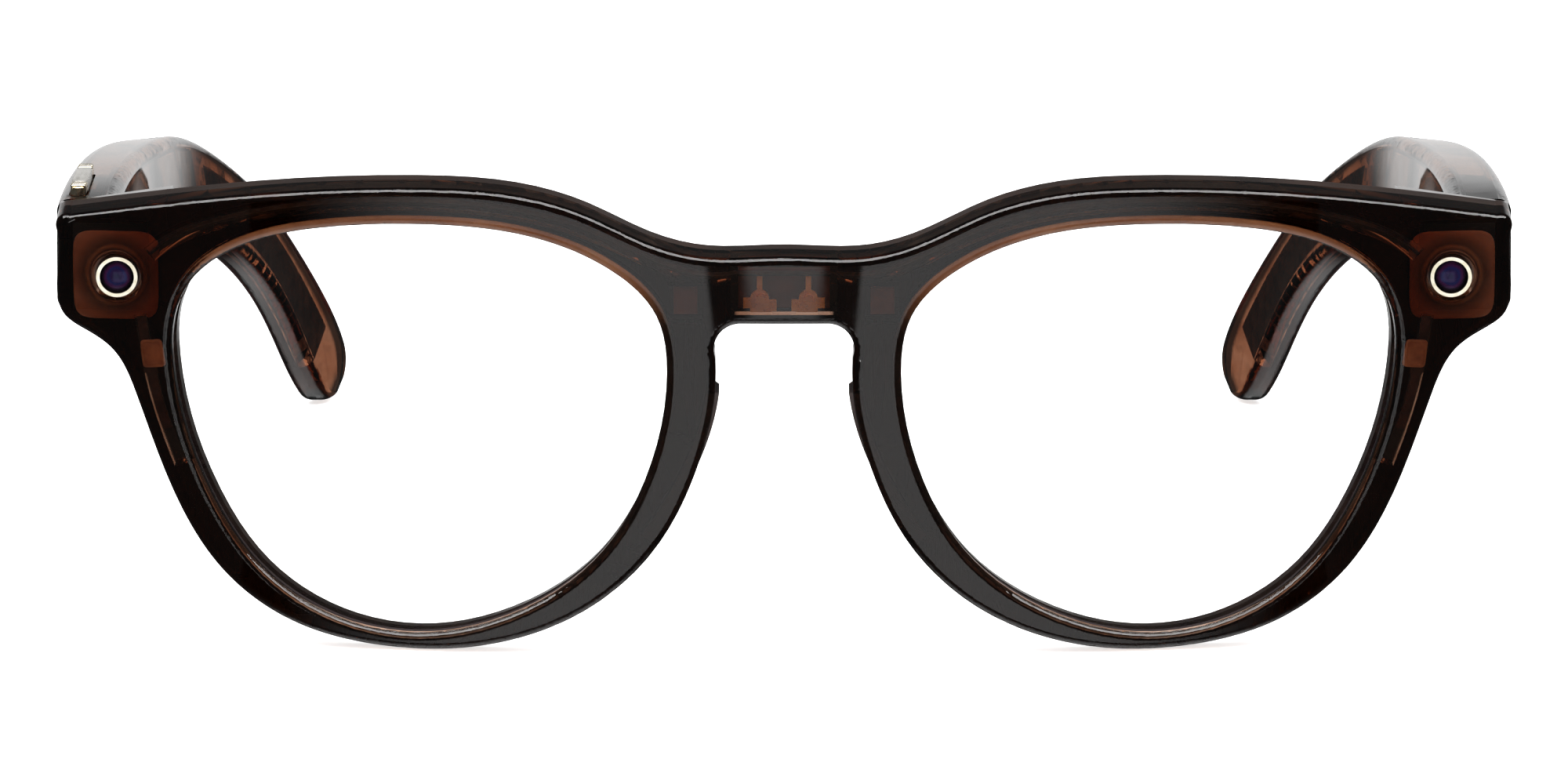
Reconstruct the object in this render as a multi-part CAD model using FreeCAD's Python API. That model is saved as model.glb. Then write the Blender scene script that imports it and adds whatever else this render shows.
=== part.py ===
"""Smart glasses: a hollow two-part front with two cameras, and two hinged electronic temples.

The front is built in its own frame: X to the wearer's left, Y back from the middle of the front face,
Z up along that face.  Leaning it by LENS_TILT gives the wearing frame, where the temples run along Y.
The finished glasses then stand on a table, on the rims' lower edges and the temple tips.
"""
import FreeCAD, Part
import math
import os

V = FreeCAD.Vector
os.makedirs("parts", exist_ok=True)

# driving dimensions, mm and degrees
LENS_WIDTH = 50.0
BRIDGE_WIDTH = 23.0
TEMPLE_TIP_Y = 139.5
LENS_TILT = 11.0          # lean of the front when worn
REST_TILT = 6.0           # how far the glasses tip back when they stand on a table
FACE_RADIUS = 280.0       # wrap of the front face
FACE_TOP_Z = 20.5         # highest point of the brow
FRONT_THICK = 6.0         # front thickness at the brow
BACK_TAPER = 2.5          # the back face closes in towards the rims' lower edges
SPLIT_DEPTH = 3.9         # seam between the two halves of the front, at the brow
SPLIT_TAPER = 1.4
LENS_THICK = 1.8
GROOVE_DEPTH = 0.8        # how far a lens reaches into the rim
LENS_X = (LENS_WIDTH + BRIDGE_WIDTH) / 2
LENS_TURN = math.degrees(math.asin(LENS_X / FACE_RADIUS))

ENDPIECE_BACK_Y = 15.2
ENDPIECE_IN_X = 62.4      # clear of the view through the lens
ENDPIECE_FLOOR_Z = 6.9
ENDPIECE_TOP_Z = 18.2     # at its outer end, from where it climbs towards the lens
ENDPIECE_SLOPE = 8.0
TEMPLE_GAP = 0.3
TEMPLE_FRONT_Y = ENDPIECE_BACK_Y + TEMPLE_GAP
WALL = 1.2                # temple wall
COVER_THICK = 1.8         # inner half of a temple, from its seam
COVER_WALL = 1.0
FIT = 0.3                 # room round a piece that moves
FACE_FILLET = 1.0         # along the front's forward edges

CAMERA_X = 67.7
CAMERA_Z = 9.65
CAMERA_SEAT_Y = 9.9       # flat seat inside the front face
HINGE_X = 66.9
HINGE_Y = 18.2
KNUCKLE_R = 1.45
PIN_R = 0.6
PIN_PLAY = 0.04
HINGE_LOW_Z = 8.6
HINGE_HIGH_Z = 17.0
KNUCKLE_PLAY = 0.05
SCREW_X = 64.1
MIDDLE_LOW_Z = 10.95
MIDDLE_HIGH_Z = 14.65

CONTACT_X = 2.45
CONTACT_Z = 9.3
CONTACT_PAD_R = 1.25

BUTTON_X = 72.2
BUTTON_FRONT_Y = 17.2
BUTTON_LENGTH = 14.8
BUTTON_WIDTH = 1.6
BUTTON_PROUD = 0.9
BUTTON_TRAVEL = 0.4
BUTTON_SLOPE = 4.8
SLIDER_TRAVEL = 2.0

parts = {}


# ---------- drawing helpers ----------

def curve(points, closed=False):
    """Smooth curve through a few points."""
    spline = Part.BSplineCurve()
    if closed:
        spline.interpolate(Points=points, PeriodicFlag=True)
    else:
        spline.interpolate(points)
    return spline


def moved_out(points, distance, closed):
    """Points of a curve in an XZ plane, moved along its normal."""
    spline = curve(points, closed)
    result = []
    for point in points:
        tangent = spline.tangent(spline.parameter(point))[0]
        result.append(point + V(-tangent.z, 0, tangent.x) * distance)
    return result


def loop_face(points):
    return Part.Face(Part.Wire([curve(points, True).toShape()]))


def ribbon_face(points, half_width):
    """Strip of even width that follows a curve in an XZ plane."""
    upper = moved_out(points, half_width, False)
    lower = moved_out(points, -half_width, False)
    edges = [curve(upper).toShape(), Part.makeLine(upper[-1], lower[-1])]
    edges += [curve(lower).toShape(), Part.makeLine(lower[0], upper[0])]
    return Part.Face(Part.Wire(Part.__sortEdges__(edges)))


def block(x0, x1, y0, y1, z0, z1):
    return Part.makeBox(x1 - x0, y1 - y0, z1 - z0, V(x0, y0, z0))


def rod_y(x, z, y0, y1, radius):
    return Part.makeCylinder(radius, y1 - y0, V(x, y0, z), V(0, 1, 0))


def ring_y(x, z, y0, y1, inner, outer):
    return rod_y(x, z, y0, y1, outer).cut(rod_y(x, z, y0 - 1, y1 + 1, inner))


def rod_z(x, y, z0, z1, radius):
    return Part.makeCylinder(radius, z1 - z0, V(x, y, z0))


def stadium(x, y0, y1, width, z0, z1):
    """Upright bar with round ends, long in Y."""
    r = width / 2
    bar = block(x - r, x + r, y0 + r, y1 - r, z0, z1)
    bar = bar.fuse([rod_z(x, y0 + r, z0, z1, r), rod_z(x, y1 - r, z0, z1, r)])
    return bar.removeSplitter()


def mirrored(shape):
    return shape.mirror(V(0, 0, 0), V(1, 0, 0))


def on_side(shape, side):
    """side is 1 for the wearer's left, -1 for the wearer's right."""
    return shape if side > 0 else mirrored(shape)


def worn(shape):
    """From the front's own frame to the wearing frame."""
    result = shape.copy()
    result.rotate(V(0, 0, 0), V(1, 0, 0), LENS_TILT)
    return result


def cut_all(shape, tools):
    return shape.cut(Part.makeCompound(tools)) if tools else shape


def rounded(shape, radius, wanted):
    """Fillet the edges that wanted() picks, with a smaller radius where the full one fails."""
    edges = [e for e in shape.Edges if wanted(e)]
    for size in (radius, radius * 0.75, radius * 0.5):
        try:
            result = shape.makeFillet(size, edges)
            if result.isValid() and result.Volume > 0:
                return result
        except Exception:
            continue
    print("no fillet", radius, len(edges))
    return shape


# ---------- the front's outline and faces ----------

def face_depth(x):
    """How far back the front face is at x."""
    return FACE_RADIUS - math.sqrt(FACE_RADIUS ** 2 - x ** 2)


def bowl(depth, taper):
    """Everything behind a wrapped surface that lies at the given depth behind the face, at the brow."""
    low_z = -45.0
    slope = math.tan(math.radians(taper))
    base = V(0, FACE_RADIUS - (FACE_TOP_Z - low_z) * slope, low_z)
    return Part.makeCylinder(FACE_RADIUS - depth, 90, base, V(0, slope, 1))


def points_xz(pairs, y=0.0):
    return [V(x, y, z) for x, z in pairs]


TOP_EDGE = [(0, 14.0), (8.0, 13.9), (13.4, 15.2), (20.0, 18.2), (28.0, 20.2), (37.0, 20.5),
            (50.0, 19.6), (63.5, 17.6), (72.4, 15.9)]
SIDE_EDGE = [(73.9, 14.4), (73.9, 9.0), (73.2, 5.3), (71.0, 3.8), (68.4, 2.1), (65.9, -2.6),
             (62.3, -12.4), (57.3, -20.6), (50.0, -25.8), (41.0, -27.9), (30.5, -27.5), (20.0, -23.4),
             (12.6, -16.2), (8.7, -8.0), (7.1, -1.6), (6.95, 3.4)]
BRIDGE_CORNER = [(6.95, 3.4), (6.5, 5.9), (4.6, 6.95)]
OPENING = [(62.4, 2.2), (61.2, -5.5), (58.4, -12.8), (53.6, -19.9), (46.2, -24.8), (36.7, -26.3),
           (27.3, -23.8), (19.2, -17.9), (13.8, -8.1), (12.1, 1.6), (13.2, 7.8), (18.0, 12.6),
           (26.5, 15.9), (36.5, 16.7), (47.0, 15.9), (56.0, 13.2), (61.0, 8.7)]
BROW_LINE = [(4.8, 11.9), (9.2, 11.9), (14.0, 13.6), (20.0, 16.3), (27.5, 18.15), (36.5, 18.75),
             (47.0, 18.1), (56.0, 16.2), (61.5, 14.0), (64.21, 12.0)]
RIM_LINE = [(65.2, 5.6), (64.6, 1.8), (63.8, -2.2), (62.6, -6.2), (61.3, -9.8)]


def front_outline():
    """Closed outline of the whole front."""
    edges = []
    top = points_xz(TOP_EDGE)
    mirror_top = [V(-p.x, 0, p.z) for p in reversed(top[1:])]
    top_edge = curve(mirror_top + top).toShape()
    for side in (1, -1):
        edge = points_xz([(side * x, z) for x, z in SIDE_EDGE])
        corner = points_xz([(side * x, z) for x, z in BRIDGE_CORNER])
        shoulder = V(side * 73.6, 0, 15.5)
        end = V(side * TOP_EDGE[-1][0], 0, TOP_EDGE[-1][1])
        edges.append(Part.Arc(end, shoulder, edge[0]).toShape())
        edges.append(curve(edge).toShape())
        edges.append(Part.Arc(*corner).toShape())
    low = BRIDGE_CORNER[-1]
    edges.append(Part.makeLine(V(-low[0], 0, low[1]), V(low[0], 0, low[1])))
    return Part.Wire(Part.__sortEdges__([top_edge] + edges))


def front_prism(y0, y1):
    face = Part.Face(front_outline())
    face.translate(V(0, y0, 0))
    return face.extrude(V(0, y1 - y0, 0))


def opening_prism(grow):
    """Lens opening on the wearer's left, along the lens's own axis."""
    turn = math.radians(LENS_TURN)
    points = points_xz([((x - LENS_X) / math.cos(turn), z) for x, z in OPENING])
    if grow:
        points = moved_out(points, grow, True)
    prism = loop_face(points).extrude(V(0, 36, 0))
    prism.translate(V(0, -8, 0))
    prism.rotate(V(0, 0, 0), V(0, 0, 1), LENS_TURN)
    prism.translate(V(LENS_X, face_depth(LENS_X), 0))
    return prism


def endpiece():
    """Thick block behind each end of the front, in the wearing frame."""
    corners = [(ENDPIECE_IN_X, 2.0), (ENDPIECE_IN_X, ENDPIECE_BACK_Y), (80.0, ENDPIECE_BACK_Y), (80.0, 2.0)]
    outline = Part.makePolygon([V(x, y, ENDPIECE_FLOOR_Z) for x, y in corners + corners[:1]])
    shape = Part.Face(outline).extrude(V(0, 0, 30))
    roof = block(-34, 26, -10, 40, 0, 30)
    roof.rotate(V(0, 0, 0), V(0, 1, 0), ENDPIECE_SLOPE)
    roof.translate(V(74.0, 0, ENDPIECE_TOP_Z))
    return shape.cut(roof)


def solid_front():
    """The whole front, in the wearing frame, with its edges rounded."""
    prism = front_prism(-3, 31)
    openings = [on_side(opening_prism(0), side) for side in (1, -1)]
    plate = prism.common(bowl(0, 0)).cut(bowl(FRONT_THICK, BACK_TAPER))
    plate = cut_all(plate, openings)
    plate = rounded(plate, FACE_FILLET, lambda edge: lies_on(edge, bowl(0, 0)))
    behind = worn(cut_all(prism.common(bowl(2 * FACE_FILLET, 0)), openings))
    blocks = [behind.common(on_side(endpiece(), side)) for side in (1, -1)]
    return worn(plate).fuse(blocks)


def lies_on(edge, wrapped):
    """True for an edge on a wrapped surface."""
    span = edge.LastParameter - edge.FirstParameter
    middle = Part.Vertex(edge.valueAt(edge.FirstParameter + span * 0.37))
    return middle.Point.y < 14 and wrapped.Shells[0].distToShape(middle)[0] < 0.01


def worn_slab(shape, near, near_taper, far, far_taper):
    """The part of a shape between two depths behind the face."""
    return shape.common(worn(bowl(near, near_taper))).cut(worn(bowl(far, far_taper)))


# ---------- the front's pieces ----------

def camera_pocket():
    """Room for a camera, in the front's frame, with a flat seat in front."""
    return block(64.2, 72.1, CAMERA_SEAT_Y, 14.6, 6.0, 15.1)


def camera_parts(side):
    name = "left" if side > 0 else "right"
    x, z, seat = CAMERA_X, CAMERA_Z, CAMERA_SEAT_Y
    glass = Part.makeSphere(3.6, V(x, seat - 1.25 + 3.6, z)).common(rod_y(x, z, seat - 1.3, seat - 0.1, 1.72))
    ring = ring_y(x, z, seat - 1.3, seat + 0.1, 1.74, 2.1)
    gasket = ring_y(x, z, seat, seat + 0.3, 2.1, 3.35)
    module = rod_y(x, z, seat - 0.1, seat + 0.3, 1.74)
    module = module.fuse([block(x - 3.4, x + 3.4, seat + 0.3, seat + 3.4, z - 3.4, z + 3.4)])
    module = module.fuse([block(x - 2.6, x + 2.6, seat + 3.4, seat + 4.2, z - 1.8, z + 1.8)])
    for label, shape in (("glass", glass), ("ring", ring), ("gasket", gasket), ("module", module)):
        parts["camera_%s_%s" % (label, name)] = worn(on_side(shape, side))


def nose_pad():
    """Pad on the nose side of the wearer's left rim, in the front's frame."""
    flank = [(6.75, -0.6), (7.6, -4.6), (9.3, -9.0), (11.4, -12.9), (13.6, -16.2)]
    spline = curve(points_xz(flank))
    sections = []
    for (x, z), grow in zip(flank, (0.42, 0.85, 1.0, 0.95, 0.6)):
        tangent = spline.tangent(spline.parameter(V(x, 0, z)))[0]
        out = V(-tangent.z, 0, tangent.x)
        shape = [(-0.2, 1.6), (-0.2, 5.2), (0.7 * grow, 5.4 + 2.2 * grow), (1.8 * grow, 5.6 + 3.0 * grow),
                 (2.9 * grow, 5.6 + 2.4 * grow), (2.2 * grow, 5.9), (1.2, 4.4), (1.1, 1.6)]
        corners = [V(x, 0, z) + out * a + V(0, b + face_depth(x), 0) for a, b in shape]
        front = Part.makeLine(corners[-1], corners[0])
        inner = Part.makeLine(corners[0], corners[1])
        back = curve(corners[1:7]).toShape()
        seat = Part.makeLine(corners[6], corners[7])
        sections.append(Part.Wire([front, inner, back, seat]))
    return Part.makeLoft(sections, True, False)


def bridge_parts():
    z = CONTACT_Z
    pocket = block(-5.4, 5.4, 1.5, 4.7, 7.8, 12.8)
    parts["contact_carrier"] = worn(block(-4.6, 4.6, 3.1, 4.6, 8.1, 12.4))
    for side, name in ((1, "left"), (-1, "right")):
        x = CONTACT_X
        pin = rod_y(x, z, 1.7, 4.6, 0.5).fuse([rod_y(x, z, 4.6, 5.6, CONTACT_PAD_R)])
        terminal = block(x - 0.28, x + 0.28, 2.2, 2.5, z, 11.79)
        arm = block(0.75, 1.9, 2.2, 2.5, z - 1.3, z - 0.1)
        clip = block(3.0, 4.1, 2.2, 2.5, z - 1.0, z + 0.1)
        foot = block(1.2, 3.4, 2.2, 3.1, z - 1.4, z - 0.8)
        plate = rod_y(x, z, 2.2, 2.5, 0.95)
        terminal = terminal.fuse([arm, clip, foot, plate]).cut(rod_y(x, z, 0, 6, 0.5))
        parts["charging_contact_" + name] = worn(on_side(pin, side))
        parts["contact_terminal_" + name] = worn(on_side(terminal, side))
    holes = []
    for side, name in ((1, "left"), (-1, "right")):
        holes.append(worn(on_side(rod_y(CONTACT_X, z, 4.5, 12, CONTACT_PAD_R), side)))
        holes.append(worn(on_side(rod_y(CONTACT_X, z, 0, 6, 0.5), side)))
    parts["contact_carrier"] = cut_all(parts["contact_carrier"], holes)
    return worn(pocket), holes[0::2]


def side_pocket():
    """Room beside the bridge for a small sensor, in the front's frame."""
    return block(8.2, 11.6, 1.6, 4.9, 6.8, 10.8)


def front_parts():
    body = solid_front()
    split = worn(bowl(SPLIT_DEPTH, SPLIT_TAPER))
    front = body.cut(split)
    rear = body.common(split)
    bridge_room, contact_holes = bridge_parts()
    front_cuts = [bridge_room]
    rear_cuts = [bridge_room] + contact_holes
    brow_room = ribbon_face(points_xz(BROW_LINE), 0.75).extrude(V(0, 30, 0))
    brow_flex = ribbon_face(points_xz(BROW_LINE), 0.11).extrude(V(0, 30, 0))
    rim_room = ribbon_face(points_xz(RIM_LINE), 0.7).extrude(V(0, 30, 0))
    rim_strip = ribbon_face(points_xz(RIM_LINE[:-1]), 0.5).extrude(V(0, 30, 0))
    flex = [worn(block(-5.0, 5.0, 1.75, 3.0, 11.79, 12.01))]
    for side, name in ((1, "left"), (-1, "right")):
        lens = worn_slab(worn(on_side(opening_prism(GROOVE_DEPTH), side)),
                         SPLIT_DEPTH - LENS_THICK, SPLIT_TAPER, SPLIT_DEPTH, SPLIT_TAPER)
        parts["lens_" + name] = lens
        front_cuts.append(lens)
        pad = worn(on_side(nose_pad(), side))
        parts["nose_pad_" + name] = pad
        room = worn(on_side(camera_pocket(), side))
        aperture = worn(on_side(rod_y(CAMERA_X, CAMERA_Z, 0, CAMERA_SEAT_Y + 1, 2.55), side))
        small = worn(on_side(side_pocket(), side))
        brow = worn_slab(worn(on_side(brow_room, side)), 1.4, 0, SPLIT_DEPTH, SPLIT_TAPER)
        rim = worn_slab(worn(on_side(rim_room, side)), 1.1, 0, SPLIT_DEPTH, SPLIT_TAPER)
        front_cuts += [pad, room, aperture, small, brow, rim]
        rear_cuts += [pad, room, small]
        flex.append(worn_slab(worn(on_side(brow_flex, side)), 1.6, 0, 3.5, SPLIT_TAPER))
        strip = worn_slab(worn(on_side(rim_strip, side)), 1.5, 0, 1.8, 0)
        patch = block(63.2, 66.0, 0, 30, -0.4, 2.2)
        patch = worn_slab(worn(on_side(patch, side)), 1.2, 0, 1.5, 0).common(rim)
        parts["antenna_" + name] = strip.fuse([patch])
        camera_parts(side)
    parts["front_flex"] = flex[0].fuse(flex[1:])
    parts["front_shell"] = cut_all(front, front_cuts)
    parts["rear_shell"] = cut_all(rear, rear_cuts)
    parts["nose_microphone"] = worn(block(8.7, 11.1, 3.2, 4.3, 7.4, 10.2))
    parts["wear_sensor"] = worn(mirrored(block(8.7, 11.1, 3.2, 4.3, 7.4, 10.2)))


# ---------- hinges ----------

def hinge_parts(side):
    name = "left" if side > 0 else "right"
    x, y = HINGE_X, HINGE_Y
    plate = block(62.8, 69.2, ENDPIECE_BACK_Y - 1.0, ENDPIECE_BACK_Y, HINGE_LOW_Z, HINGE_HIGH_Z)
    recess = plate.copy()
    knuckles = []
    for low, high in ((HINGE_LOW_Z, MIDDLE_LOW_Z - KNUCKLE_PLAY), (MIDDLE_HIGH_Z + KNUCKLE_PLAY, HINGE_HIGH_Z)):
        knuckles.append(rod_z(x, y, low, high, KNUCKLE_R))
        knuckles.append(block(x - KNUCKLE_R, x + KNUCKLE_R, ENDPIECE_BACK_Y, y, low, high))
    pin = rod_z(x, y, HINGE_LOW_Z + 0.2, HINGE_HIGH_Z - 0.7, PIN_R)
    pin = pin.fuse([rod_z(x, y, HINGE_HIGH_Z - 0.7, HINGE_HIGH_Z, 1.05)])
    pin = pin.cut(block(x - 2, x + 2, y - 0.15, y + 0.15, HINGE_HIGH_Z - 0.35, HINGE_HIGH_Z + 1))
    front_leaf = plate.fuse(knuckles).cut(rod_z(x, y, 0, HINGE_HIGH_Z - 0.7, PIN_R))
    front_leaf = front_leaf.cut(rod_z(x, y, HINGE_HIGH_Z - 0.7, 30, 1.05))
    screws = []
    for z in (10.6, 15.0):
        shank = rod_y(SCREW_X, z, ENDPIECE_BACK_Y - 3.4, ENDPIECE_BACK_Y - 0.5, 0.5)
        head = rod_y(SCREW_X, z, ENDPIECE_BACK_Y - 0.5, ENDPIECE_BACK_Y, 0.9)
        slot = block(SCREW_X - 1, SCREW_X + 1, ENDPIECE_BACK_Y - 0.25, ENDPIECE_BACK_Y + 1, z - 0.12, z + 0.12)
        front_leaf = front_leaf.cut(head.fuse([shank]))
        screws.append(head.fuse([shank]).cut(slot))
    leaf_plate = block(68.9, 69.7, 17.4, 27.4, HINGE_LOW_Z + 0.6, HINGE_HIGH_Z - 0.6)
    arm = block(x, 69.7, y - 0.9, y + 0.9, MIDDLE_LOW_Z, MIDDLE_HIGH_Z)
    temple_leaf = rod_z(x, y, MIDDLE_LOW_Z, MIDDLE_HIGH_Z, KNUCKLE_R).fuse([arm, leaf_plate])
    temple_leaf = temple_leaf.cut(rod_z(x, y, 0, 30, PIN_R + PIN_PLAY))
    temple_screws = []
    for z in (10.9, 14.7):
        screw = Part.makeCylinder(0.5, 2.0, V(68.9, 24.6, z), V(1, 0, 0))
        screw = screw.fuse([Part.makeCylinder(0.9, 0.5, V(68.4, 24.6, z), V(1, 0, 0))])
        temple_screws.append(screw)
        temple_leaf = temple_leaf.cut(screw)
    sweep = rod_z(x, y, HINGE_LOW_Z - FIT, HINGE_HIGH_Z + FIT, KNUCKLE_R + FIT)
    mouth = block(x - 8, x + KNUCKLE_R + FIT, 10, y, HINGE_LOW_Z - FIT, HINGE_HIGH_Z + FIT)
    parts["hinge_front_leaf_" + name] = on_side(front_leaf, side)
    parts["hinge_pin_" + name] = on_side(pin, side)
    parts["hinge_temple_leaf_" + name] = on_side(temple_leaf, side)
    parts["temple_leaf_screws_" + name] = on_side(Part.makeCompound(temple_screws), side)
    return recess, screws, sweep.fuse([mouth]), temple_leaf, temple_screws


# ---------- temples ----------

# y, x and z of the middle, thickness, height, lean in degrees, all in the wearing frame
STATIONS = [(15.5, 71.15, 12.75, 6.3, 11.4, 0), (32, 71.15, 14.1, 6.25, 11.5, 0),
            (52, 70.85, 14.7, 6.3, 11.5, 0), (72, 70.1, 14.6, 6.4, 11.4, 1), (85, 69.1, 14.35, 6.2, 11.2, 4),
            (96, 67.7, 13.9, 5.5, 11.0, 8), (106, 65.6, 12.8, 4.7, 10.8, 13), (116, 62.6, 10.2, 4.1, 10.6, 16),
            (126, 58.7, 5.0, 3.8, 10.3, 14), (134, 55.2, -2.0, 3.7, 9.9, 8), (TEMPLE_TIP_Y, 52.6, -8.4, 3.6, 9.4, 4)]
PATH = curve([V(x, y, z) for y, x, z, *_ in STATIONS])


def station(y):
    """Middle point, thickness, height and lean of a temple at y."""
    for low, high in zip(STATIONS, STATIONS[1:]):
        if low[0] <= y <= high[0]:
            share = (y - low[0]) / (high[0] - low[0])
            thick, high_z, lean = (low[i] + (high[i] - low[i]) * share for i in (3, 4, 5))
            cut = PATH.intersect(Part.Plane(V(0, y, 0), V(0, 1, 0)))
            point = cut[0][0] if isinstance(cut, tuple) else cut[0]
            return V(point.X, point.Y, point.Z), thick, high_z, lean


def directions(point, lean):
    """Along, outward and up at a point of a temple's middle line."""
    along = PATH.tangent(PATH.parameter(point))[0]
    if point.y < 16:
        along = V(0, 1, 0)
    outward = along.cross(V(0, 0, 1)).normalize()
    up = outward.cross(along).normalize()
    angle = math.radians(lean)
    leaned_up = up * math.cos(angle) + outward * math.sin(angle)
    leaned_out = outward * math.cos(angle) - up * math.sin(angle)
    return along, leaned_out, leaned_up


def section(point, lean, out0, out1, up0, up1, corner, shift=0.0):
    """Rounded rectangle across a temple, as a wire."""
    along, outward, up = directions(point, lean)
    base = point + along * shift

    def at(a, b):
        return base + outward * a + up * b

    k = corner * (1 - math.sqrt(0.5))
    c = corner
    wire = []
    rim = [((out1, up0 + c), (out1, up1 - c)), ((out1 - c, up1), (out0 + c, up1)),
           ((out0, up1 - c), (out0, up0 + c)), ((out0 + c, up0), (out1 - c, up0))]
    bends = [(out1 - k, up1 - k), (out0 + k, up1 - k), (out0 + k, up0 + k), (out1 - k, up0 + k)]
    for i, (start, stop) in enumerate(rim):
        wire.append(Part.makeLine(at(*start), at(*stop)))
        wire.append(Part.Arc(at(*stop), at(*bends[i]), at(*rim[(i + 1) % 4][0])).toShape())
    return Part.Wire(wire)


def temple_solid():
    """The whole outside of a temple, on the wearer's left."""
    wires = []
    for y, *_ in STATIONS:
        point, thick, height, lean = station(y)
        wires.append(section(point, lean, -thick / 2, thick / 2, -height / 2, height / 2, min(1.3, thick * 0.36)))
    radius = STATIONS[-1][4] / 2
    point, thick, height, lean = station(TEMPLE_TIP_Y)
    for share, slim in ((0.42, 0.98), (0.72, 0.92), (0.91, 0.78), (0.985, 0.52)):
        half = radius * math.sqrt(1 - share ** 2)
        t = thick * slim / 2
        wires.append(section(point, lean, -t, t, -half, half, min(t, half) * 0.7, radius * share))
    return Part.makeLoft(wires, True, False)


def inner_slab():
    """The inner layer of a temple, which becomes its cover."""
    wires = []
    for y, *_ in STATIONS:
        point, thick, height, lean = station(y)
        deep = min(COVER_THICK, thick * 0.42)
        wires.append(section(point, lean, -thick / 2 - 2, -thick / 2 + deep, -height, height, 0.1))
    thick = STATIONS[-1][3]
    wires.append(section(point, lean, -thick / 2 - 2, -thick / 2 + deep, -height, height, 0.1, 9.0))
    return Part.makeLoft(wires, True, False)


def cavity():
    """Room inside a temple."""
    wires = []
    for y in (28.2, 38.0, 50.0, 61.0, 72.0, 85.0, 96.0, 102.0):
        point, thick, height, lean = station(y)
        wires.append(section(point, lean, -thick / 2 + COVER_WALL, thick / 2 - WALL,
                             -height / 2 + WALL, height / 2 - WALL, 0.5))
    return Part.makeLoft(wires, True, False)


def temple_box(y0, y1, out0, out1, up0, up1, inset0=0.0, inset1=0.0):
    """Box along a temple's middle line from y0 to y1, shortened by an inset at either end."""
    start = station(y0)[0]
    end, _, _, lean = station(y1)
    along = end - start
    length = along.Length - inset0 - inset1
    along.normalize()
    start = start + along * inset0
    outward = along.cross(V(0, 0, 1)).normalize()
    up = outward.cross(along).normalize()
    angle = math.radians(lean * 0.8)
    up, outward = (up * math.cos(angle) + outward * math.sin(angle),
                   outward * math.cos(angle) - up * math.sin(angle))
    corners = [start + outward * a + up * b for a, b in ((out0, up0), (out1, up0), (out1, up1), (out0, up1))]
    return Part.Face(Part.makePolygon(corners + corners[:1])).extrude(along * length)


def tip_core():
    """Flat steel strip that stiffens the ear part."""
    wires = []
    for y in (108.0, 116.0, 126.0, 133.0, 138.0):
        point, thick, height, lean = station(y)
        wires.append(section(point, lean, -0.05, 0.55, -height * 0.27, height * 0.27, 0.2))
    return Part.makeLoft(wires, True, False)


def vent(y, z0, z1, grow):
    """Oval vent shaft through a temple's wall, with its mesh's size at grow 0."""
    middle = station(y)[0]
    return stadium(middle.x + 0.2, y - 3.2 - grow, y + 3.2 + grow, 1.8 + 2 * grow, middle.z + z0, middle.z + z1)


def capture_button_parts(shell):
    """Bar on top of the wearer's right temple, drawn on the left; returns the shell, bar and switch."""
    y0, y1 = BUTTON_FRONT_Y, BUTTON_FRONT_Y + BUTTON_LENGTH
    top_z = 18.9 + BUTTON_PROUD
    slope = BUTTON_SLOPE
    bar = stadium(BUTTON_X, y0, y1, BUTTON_WIDTH, 17.3, top_z)
    foot = stadium(BUTTON_X, y0 - 0.4, y1 + 0.4, BUTTON_WIDTH + 0.8, 16.5, 17.3)
    slot = stadium(BUTTON_X, y0 - 0.2, y1 + 0.2, BUTTON_WIDTH + 0.4, 16.6, 22)
    room = stadium(BUTTON_X, y0 - 0.7, y1 + 0.7, BUTTON_WIDTH + 1.3, 15.2, 17.35)
    shapes = [bar.fuse([foot]), slot, room]
    for shape in shapes:
        shape.rotate(V(BUTTON_X, y0, 17.3), V(1, 0, 0), slope)
    button, slot, room = shapes
    rise = math.tan(math.radians(slope)) * 7.5
    switch = block(BUTTON_X - 1.1, BUTTON_X + 1.1, y0 + 6.0, y0 + 9.0, 13.4, 16.0 + rise - BUTTON_TRAVEL - 0.1)
    switch_room = block(BUTTON_X - 1.1, BUTTON_X + 1.1, y0 + 6.0, y0 + 9.0, 13.4, 17.0)
    return shell.cut(room.fuse([slot, switch_room])), button, switch


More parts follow.
